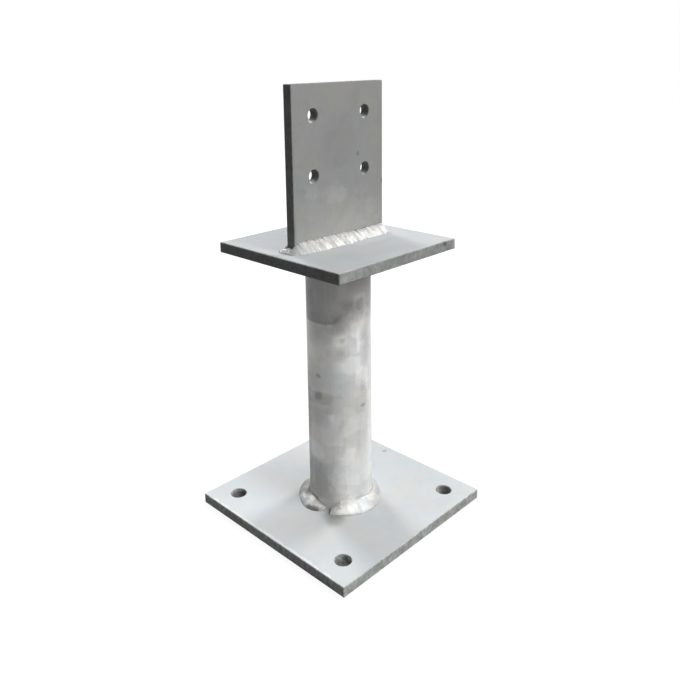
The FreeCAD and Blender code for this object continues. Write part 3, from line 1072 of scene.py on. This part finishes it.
class POSTBASE_OT_stage(bpy.types.Operator):
    """Set the camera, the lamps, the surrounding light and the floor"""

    bl_idname = "post_base.stage"
    bl_label = "Stage"
    bl_options = {"REGISTER", "UNDO"}

    def execute(self, context):
        stage = context.scene.post_base_stage
        self.set_camera(context, stage)
        self.add_lamp(context, "lamp_right", 0, 35, TALL_LAMP, stage.right_lamp)
        self.add_lamp(context, "lamp_rear", 72, 35, TALL_LAMP, stage.rear_lamp)
        self.add_lamp(context, "lamp_front", 288, 36, WIDE_LAMP, stage.front_lamp)
        self.set_world(context, stage)
        self.lay_floor(context)
        context.scene.view_settings.view_transform = "Standard"
        return {"FINISHED"}

    def set_camera(self, context, stage):
        """A camera off the front left corner, a little above the blade, that looks slightly down."""
        data = bpy.data.cameras.new("camera")
        data.lens = stage.lens
        data.sensor_width = 36
        data.shift_x, data.shift_y = CAMERA_SHIFT
        data.clip_start = 0.01
        back = Vector(CAMERA_BACK).normalized()
        up = back.cross(Vector(CAMERA_RIGHT).normalized()).normalized()
        turn = Matrix((up.cross(back), up, back)).transposed().to_4x4()
        camera = bpy.data.objects.new("camera", data)
        camera.matrix_world = Matrix.Translation(CAMERA_PLACE) @ turn
        context.scene.collection.objects.link(camera)
        context.scene.camera = camera

    def add_lamp(self, context, name, azimuth, elevation, size, power):
        """A soft rectangular lamp that faces the object from a direction given in degrees."""
        data = bpy.data.lights.new(name, "AREA")
        data.shape = "RECTANGLE"
        data.size, data.size_y = size
        data.energy = power
        lamp = bpy.data.objects.new(name, data)
        turn, rise = math.radians(azimuth), math.radians(elevation)
        level = math.cos(rise)
        direction = Vector((math.cos(turn) * level, math.sin(turn) * level, math.sin(rise)))
        lamp.location = LAMP_AIM + direction * LAMP_DISTANCE
        lamp.rotation_euler = direction.to_track_quat("Z", "Y").to_euler()
        lamp.visible_camera = False
        context.scene.collection.objects.link(lamp)

    def set_world(self, context, stage):
        """White to the camera and in reflections, and otherwise a low light, mostly from above."""
        world = bpy.data.worlds.new("surround")
        world.use_nodes = True
        world.node_tree.nodes.clear()
        w = Wiring(world.node_tree)
        direction = w.node("ShaderNodeTexCoord").outputs["Generated"]
        up = w.vector("DOT_PRODUCT", direction, (0.0, 0.0, 1.0), output="Value")
        side_share = 0.02
        dome = w.ramp(up, 0.15, 0.95, side_share * stage.ambient, stage.ambient)
        strength = w.math("MAXIMUM", self.seen_directly(w), dome)
        light = w.node("ShaderNodeBackground", {"Color": (1, 1, 1, 1), "Strength": strength})
        w.node("ShaderNodeOutputWorld", {"Surface": light.outputs[0]})
        context.scene.world = world

    def seen_directly(self, w):
        """1 for camera, glossy and transmission rays."""
        path = w.node("ShaderNodeLightPath").outputs
        seen = w.math("MAXIMUM", path["Is Camera Ray"], path["Is Glossy Ray"])
        return w.math("MAXIMUM", seen, path["Is Transmission Ray"])

    def lay_floor(self, context):
        """A pale floor that keeps the object's shadow."""
        mesh = bpy.data.meshes.new("floor")
        ends = (-FLOOR_HALF, FLOOR_HALF)
        mesh.from_pydata([(x, y, 0.0) for y in ends for x in ends], [], [(0, 1, 3, 2)])
        floor = bpy.data.objects.new("floor", mesh)
        context.scene.collection.objects.link(floor)
        material = bpy.data.materials.new("Pale Floor")
        material.use_nodes = True
        material.node_tree.nodes.clear()
        w = Wiring(material.node_tree)
        place = w.node("ShaderNodeTexCoord").outputs["Object"]
        away = w.vector("LENGTH", place, output="Value")
        near, far = 0.15, 0.9
        whiteness = w.ramp(away, near, far, 0.92, 1.0)

        # dim under the base plate
        dimmed = 0.10
        x, y, _ = w.node("ShaderNodeSeparateXYZ", {"Vector": place}).outputs
        beside = w.math("MAXIMUM", w.math("ABSOLUTE", x), w.math("ABSOLUTE", y))
        uncovered = w.math("GREATER_THAN", beside, BASE_HIGH.x - 2 * MM)
        whiteness = w.math("MULTIPLY", whiteness, w.math("MAXIMUM", uncovered, dimmed))

        grey = 0.10
        matte = w.node("ShaderNodeBsdfDiffuse", {"Color": (grey, grey, grey, 1)})
        strength = w.math("MULTIPLY", self.seen_directly(w), whiteness)
        glow = w.node("ShaderNodeEmission", {"Strength": strength})
        both = w.node("ShaderNodeAddShader", {0: matte.outputs[0], 1: glow.outputs[0]})
        w.node("ShaderNodeOutputMaterial", {"Surface": both.outputs[0]})
        mesh.materials.append(material)


# -------------------------------------------------------------------------- panel and registering


class POSTBASE_PT_panel(bpy.types.Panel):
    """Shows the settings and the steps that make the post base"""

    bl_idname = "POSTBASE_PT_panel"
    bl_label = "Welded Post Base"
    bl_space_type = "VIEW_3D"
    bl_region_type = "UI"
    bl_category = "Post Base"

    def draw(self, context):
        layout = self.layout
        for group in GROUPS:
            box = layout.box()
            settings = getattr(context.scene, group)
            for name in settings.__annotations__:
                box.prop(settings, name)
        for step in STEPS:
            layout.operator(step.bl_idname)


GROUPS = {
    "post_base_zinc": PostBaseZinc,
    "post_base_welds": PostBaseWelds,
    "post_base_stage": PostBaseStage,
}
STEPS = (
    POSTBASE_OT_plates,
    POSTBASE_OT_tube,
    POSTBASE_OT_blade,
    POSTBASE_OT_foot_welds,
    POSTBASE_OT_head_welds,
    POSTBASE_OT_blade_welds,
    POSTBASE_OT_stage,
)


def register():
    """Register the settings, steps and panel."""
    for kind in (*GROUPS.values(), *STEPS, POSTBASE_PT_panel):
        bpy.utils.register_class(kind)
    for name, kind in GROUPS.items():
        setattr(bpy.types.Scene, name, PointerProperty(type=kind))


def unregister():
    """Take the panel, steps and settings away again."""
    for name in GROUPS:
        delattr(bpy.types.Scene, name)
    for kind in reversed((*GROUPS.values(), *STEPS, POSTBASE_PT_panel)):
        bpy.utils.unregister_class(kind)


def main():
    """Run every step in order and write the two boxes."""
    register()
    bpy.ops.post_base.plates()
    bpy.ops.post_base.tube()
    bpy.ops.post_base.blade()
    bpy.ops.post_base.foot_welds()
    bpy.ops.post_base.head_welds()
    bpy.ops.post_base.blade_welds()
    bpy.ops.post_base.stage()


if __name__ == "__main__":
    main()
